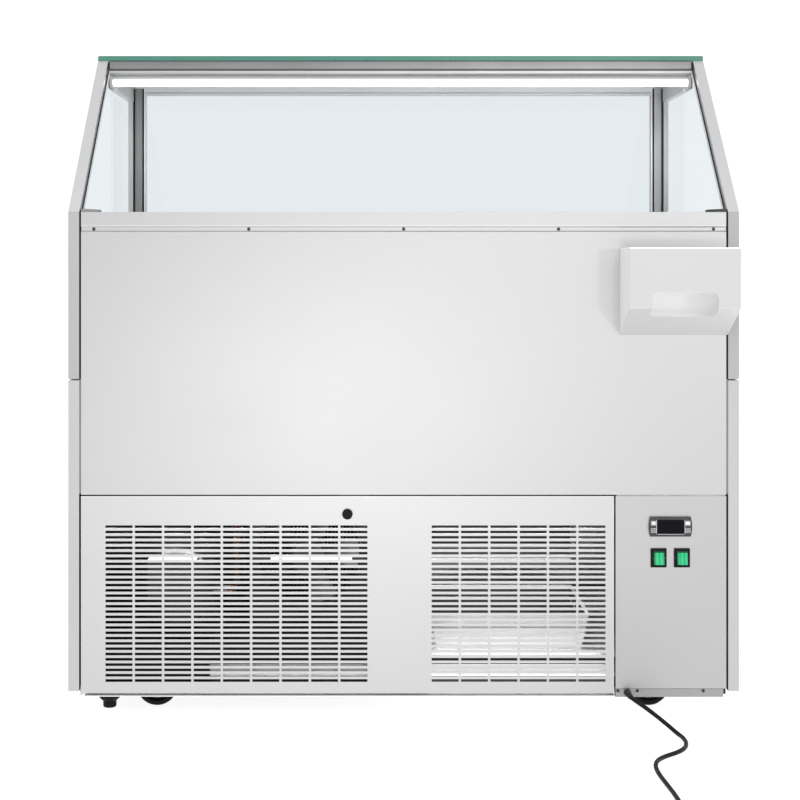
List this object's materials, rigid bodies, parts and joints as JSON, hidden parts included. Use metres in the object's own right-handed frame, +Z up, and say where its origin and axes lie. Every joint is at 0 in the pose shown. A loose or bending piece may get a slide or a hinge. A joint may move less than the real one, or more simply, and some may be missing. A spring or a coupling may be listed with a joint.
{
  "type": "ice cream display freezer",
  "caption": "Scooping freezer cabinet on casters with an open glass canopy, insulated tub, scoop tray, punched grille over its machine bay, control panel and supply cord.",
  "frame": {"origin": "on the floor, at the middle of the footprint that includes the scoop tray, without the cord", "axes": "+X to the server's right, +Y towards the customer, +Z up"},
  "size_m": [1.2, 1.393, 1.223],
  "materials": {
    "stainless": "brushed stainless sheet",
    "side_sheet": "satin grey coated panel",
    "base_steel": "galvanised folded sheet",
    "foam": "rigid foam",
    "aluminium": "satin anodised extrusion",
    "clear_glass": "clear tempered glass",
    "gasket": "matt black seal",
    "diffuser": "opal diffuser",
    "charcoal": "charcoal moulding",
    "black_plastic": "black moulding",
    "window": "dark lens",
    "green_rocker": "green translucent rocker",
    "key_grey": "grey key",
    "screw_steel": "small screw",
    "compressor_paint": "black enamel",
    "fins": "bright fins",
    "copper": "copper tube",
    "pan_white": "light moulded tray",
    "galvanised": "zinc coated sheet",
    "zinc": "zinc plated pressing",
    "tread": "black rubber tread",
    "cord_black": "black flex"
  },
  "bodies": {
    "cabinet": {"base_frame": "base_steel", "side_panel_left": "side_sheet", "side_panel_right": "side_sheet", "side_cover_left": "side_sheet", "side_cover_right": "side_sheet", "rear_panel": "stainless", "sill_cap": "stainless", "front_panel": "stainless", "foam_body": "foam", "tub_liner": "stainless", "pan_rails": "stainless", "evaporator_coil": "copper", "side_trims": "aluminium", "side_glass_left": "clear_glass", "side_glass_right": "clear_glass", "front_glass": "clear_glass", "top_glass": "clear_glass", "glass_gaskets": "gasket", "canopy_frame": "aluminium", "rear_top_rail": "aluminium", "lamp_channel": "aluminium", "lamp_diffuser": "diffuser", "lamp_end_caps": "charcoal", "control_panel": "stainless", "controller_housing": "charcoal", "controller_window": "window", "switch_bezels": "black_plastic", "scoop_tray": "stainless", "compressor": "compressor_paint", "compressor_feet": "gasket", "condenser": "fins", "fan_shroud": "galvanised", "fan_motor": "charcoal", "refrigerant_lines": "copper", "evaporation_pan": "pan_white", "air_baffle": "galvanised", "caster_plates": "zinc", "drain_stub": "black_plastic", "panel_screws": "screw_steel", "cord_gland": "black_plastic", "power_cord": "cord_black", "cord_coil": "cord_black", "plug": "cord_black"},
    "grille_panel": {"grille_panel": "stainless"},
    "grille_latch": {"grille_latch": "black_plastic"},
    "fan_blade": {"fan_blade": "fins"},
    "rocker_left": {"rocker_left": "green_rocker"},
    "rocker_right": {"rocker_right": "green_rocker"},
    "key_upper_left": {"key_upper_left": "key_grey"},
    "key_lower_left": {"key_lower_left": "key_grey"},
    "key_upper_right": {"key_upper_right": "key_grey"},
    "key_lower_right": {"key_lower_right": "key_grey"},
    "caster_fork_rear_left": {"caster_fork_rear_left": "zinc"},
    "caster_wheel_rear_left": {"caster_wheel_rear_left": "tread"},
    "caster_fork_rear_right": {"caster_fork_rear_right": "zinc"},
    "caster_wheel_rear_right": {"caster_wheel_rear_right": "tread"},
    "caster_fork_front_left": {"caster_fork_front_left": "zinc"},
    "caster_wheel_front_left": {"caster_wheel_front_left": "tread"},
    "caster_fork_front_right": {"caster_fork_front_right": "zinc"},
    "caster_wheel_front_right": {"caster_wheel_front_right": "tread"}
  },
  "joints": [
    {"name": "grille_tilt", "type": "hinge", "parent": "cabinet", "child": "grille_panel", "pos_m": [-0.1006, -0.2645, 0.052], "axis": [1, 0, 0], "range_deg": [0, 45]},
    {"name": "latch_turn", "type": "hinge", "parent": "grille_panel", "child": "grille_latch", "pos_m": [-0.1006, -0.2725, 0.365], "axis": [0, -1, 0], "range_deg": [0, 90]},
    {"name": "fan_spin", "type": "hinge", "parent": "cabinet", "child": "fan_blade", "pos_m": [-0.18, 0.0575, 0.238], "axis": [0, 1, 0], "continuous": true},
    {"name": "rocker_left_rock", "type": "hinge", "parent": "cabinet", "child": "rocker_left", "pos_m": [0.45555, -0.2735, 0.287], "axis": [1, 0, 0], "range_deg": [0, 16]},
    {"name": "rocker_right_rock", "type": "hinge", "parent": "cabinet", "child": "rocker_right", "pos_m": [0.49725, -0.2735, 0.287], "axis": [1, 0, 0], "range_deg": [0, 16]},
    {"name": "key_upper_left_press", "type": "slide", "parent": "cabinet", "child": "key_upper_left", "axis": [0, 1, 0], "range_m": [0, 0.0006], "stiffness_N_per_m": 400},
    {"name": "key_lower_left_press", "type": "slide", "parent": "cabinet", "child": "key_lower_left", "axis": [0, 1, 0], "range_m": [0, 0.0006], "stiffness_N_per_m": 400},
    {"name": "key_upper_right_press", "type": "slide", "parent": "cabinet", "child": "key_upper_right", "axis": [0, 1, 0], "range_m": [0, 0.0006], "stiffness_N_per_m": 400},
    {"name": "key_lower_right_press", "type": "slide", "parent": "cabinet", "child": "key_lower_right", "axis": [0, 1, 0], "range_m": [0, 0.0006], "stiffness_N_per_m": 400},
    {"name": "caster_rear_left_swivel", "type": "hinge", "parent": "cabinet", "child": "caster_fork_rear_left", "pos_m": [-0.422, -0.1785, 0.105], "axis": [0, 0, 1], "continuous": true},
    {"name": "caster_rear_left_spin", "type": "hinge", "parent": "caster_fork_rear_left", "child": "caster_wheel_rear_left", "pos_m": [-0.452, -0.1785, 0.0375], "axis": [0, 1, 0], "continuous": true},
    {"name": "caster_rear_right_swivel", "type": "hinge", "parent": "cabinet", "child": "caster_fork_rear_right", "pos_m": [0.422, -0.1785, 0.105], "axis": [0, 0, 1], "continuous": true},
    {"name": "caster_rear_right_spin", "type": "hinge", "parent": "caster_fork_rear_right", "child": "caster_wheel_rear_right", "pos_m": [0.452, -0.1785, 0.0375], "axis": [0, 1, 0], "continuous": true},
    {"name": "caster_front_left_swivel", "type": "hinge", "parent": "cabinet", "child": "caster_fork_front_left", "pos_m": [-0.422, 0.2835, 0.105], "axis": [0, 0, 1], "continuous": true},
    {"name": "caster_front_left_spin", "type": "hinge", "parent": "caster_fork_front_left", "child": "caster_wheel_front_left", "pos_m": [-0.452, 0.2835, 0.0375], "axis": [0, 1, 0], "continuous": true},
    {"name": "caster_front_right_swivel", "type": "hinge", "parent": "cabinet", "child": "caster_fork_front_right", "pos_m": [0.422, 0.2835, 0.105], "axis": [0, 0, 1], "continuous": true},
    {"name": "caster_front_right_spin", "type": "hinge", "parent": "caster_fork_front_right", "child": "caster_wheel_front_right", "pos_m": [0.452, 0.2835, 0.0375], "axis": [0, 1, 0], "continuous": true}
  ]
}
